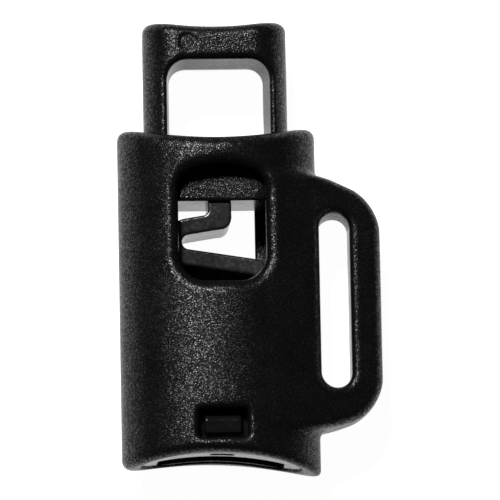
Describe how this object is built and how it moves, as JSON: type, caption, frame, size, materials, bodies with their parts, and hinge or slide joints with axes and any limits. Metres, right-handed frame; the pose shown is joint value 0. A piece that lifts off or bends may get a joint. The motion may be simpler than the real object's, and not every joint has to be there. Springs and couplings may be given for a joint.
{
  "type": "cord lock",
  "caption": "Oval barrel cord lock with a spring-loaded push plunger that clamps a cord in a through window, and a side loop for flat webbing.",
  "frame": {"origin": "centre of the cord window, on the middle plane of the barrel", "axes": "+X towards the strap loop, +Y along the plunger towards its thumb end, +Z out of the front face"},
  "size_m": [0.0209, 0.0363, 0.0102],
  "materials": {
    "barrel_plastic": "fine spark-eroded grain, semi-matt black",
    "plunger_plastic": "fine spark-eroded grain outside, smooth inside, black",
    "spring_plastic": "smooth semi-gloss black"
  },
  "bodies": {
    "barrel": {"barrel_shell": "barrel_plastic", "strap_loop": "barrel_plastic", "base_plug": "spring_plastic", "front_latch_tab": "spring_plastic", "rear_latch_tab": "spring_plastic", "zigzag_spring": "spring_plastic"},
    "plunger": {"thumb_bar": "plunger_plastic", "left_rail": "plunger_plastic", "right_rail": "plunger_plastic", "clamp_bar": "plunger_plastic", "left_guide_leg": "plunger_plastic", "right_guide_leg": "plunger_plastic"}
  },
  "joints": [
    {"name": "plunger_press", "type": "slide", "parent": "barrel", "child": "plunger", "axis": [0, -1, 0], "range_m": [0, 0.008], "stiffness_N_per_m": 700, "deforming": ["zigzag_spring"]}
  ]
}
